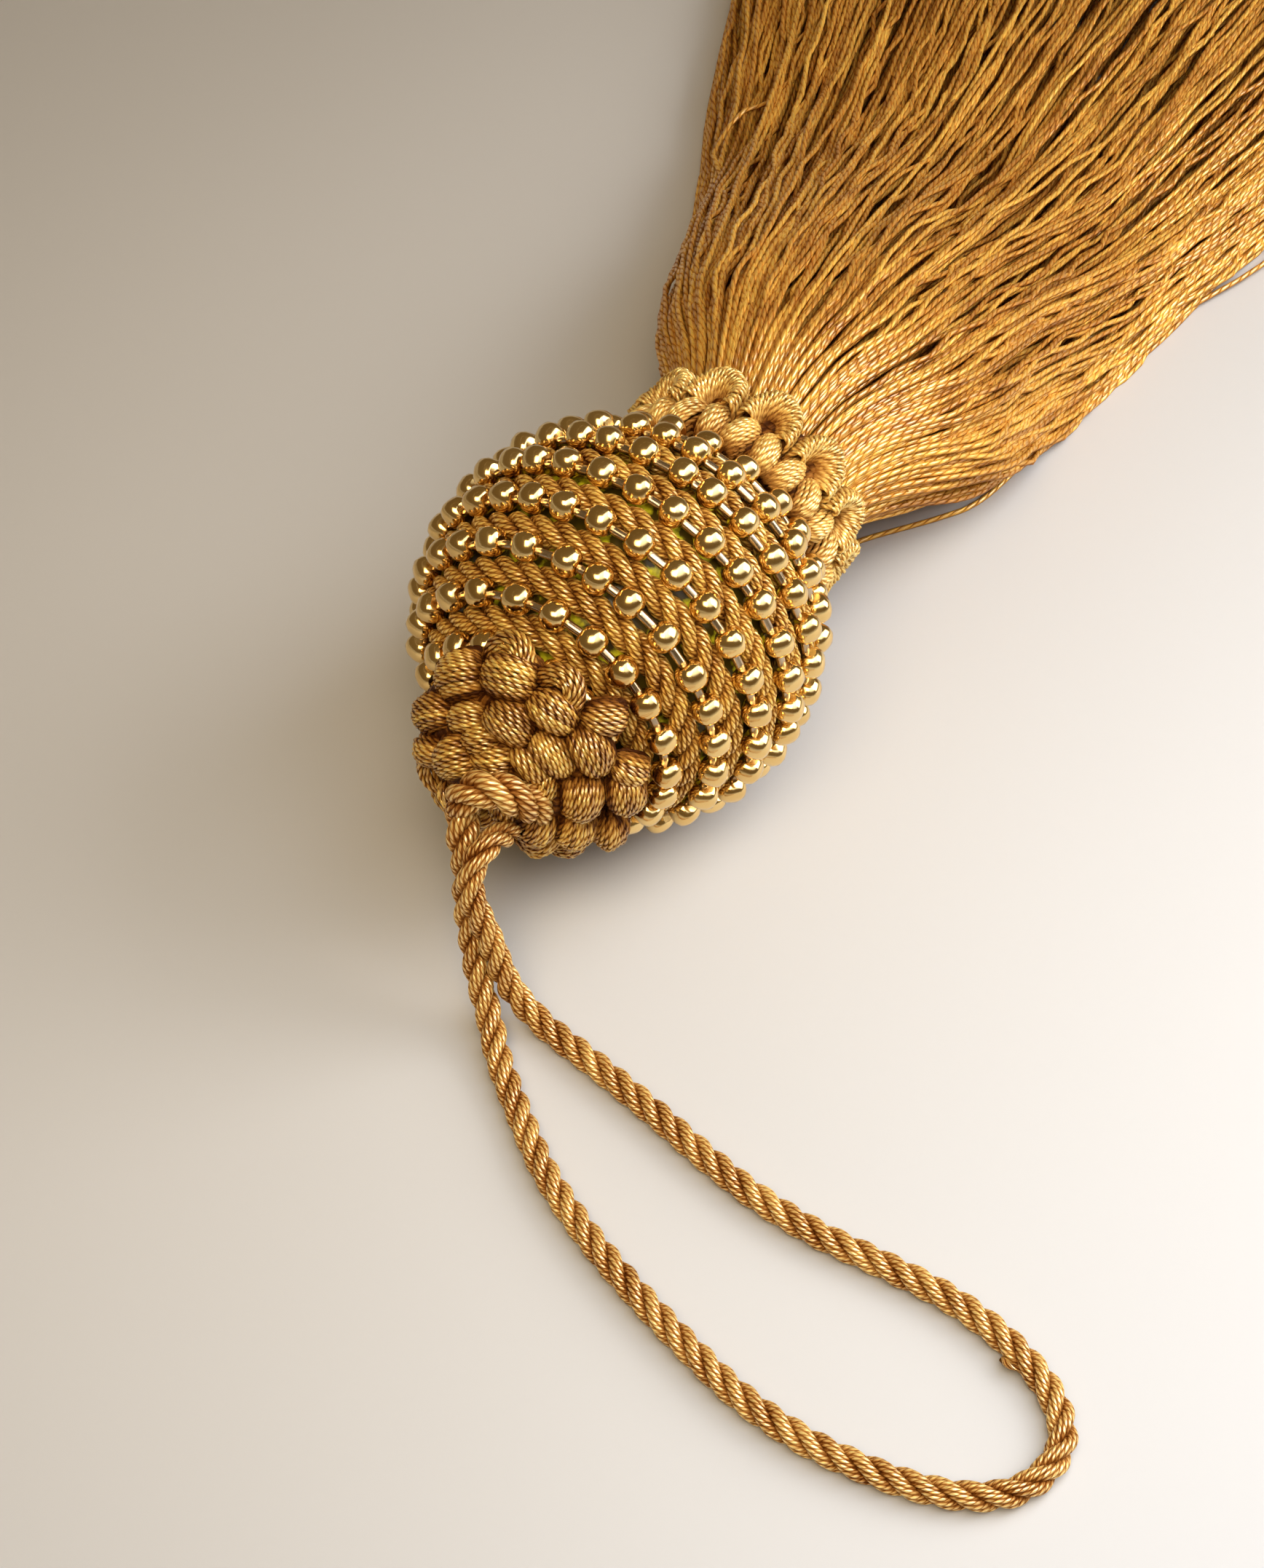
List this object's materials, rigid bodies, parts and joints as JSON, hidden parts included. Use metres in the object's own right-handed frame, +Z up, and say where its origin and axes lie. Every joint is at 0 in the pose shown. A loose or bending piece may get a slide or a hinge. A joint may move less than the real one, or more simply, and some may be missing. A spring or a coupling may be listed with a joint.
{
  "type": "tassel ornament",
  "caption": "Trimming tassel lying on a table: a ball wound with cord and bead chain, scroll braid at both ends, a fanned thread skirt and a hanging loop of laid cord.",
  "frame": {"origin": "the spot on the table that the ball rests on, under the ball's middle", "axes": "+X along the tassel's axis from the crown to the skirt, +Z up from the table"},
  "size_m": [0.2449, 0.1637, 0.0444],
  "materials": {
    "core": "glossy yellow-green paint",
    "wrap_cord": "lustrous ochre yarn, laid",
    "bead_chain": "polished pale gold",
    "braid": "lustrous ochre yarn, looped",
    "skirt_thread": "lustrous ochre thread, twisted",
    "loop_cord": "lustrous ochre yarn, laid"
  },
  "bodies": {
    "root": {"ball_core": "core", "cord_wrap": "wrap_cord", "chain_wrap": "bead_chain", "crown_braid": "braid", "collar_braid": "braid", "skirt": "skirt_thread", "hanging_loop": "loop_cord"}
  },
  "joints": []
}
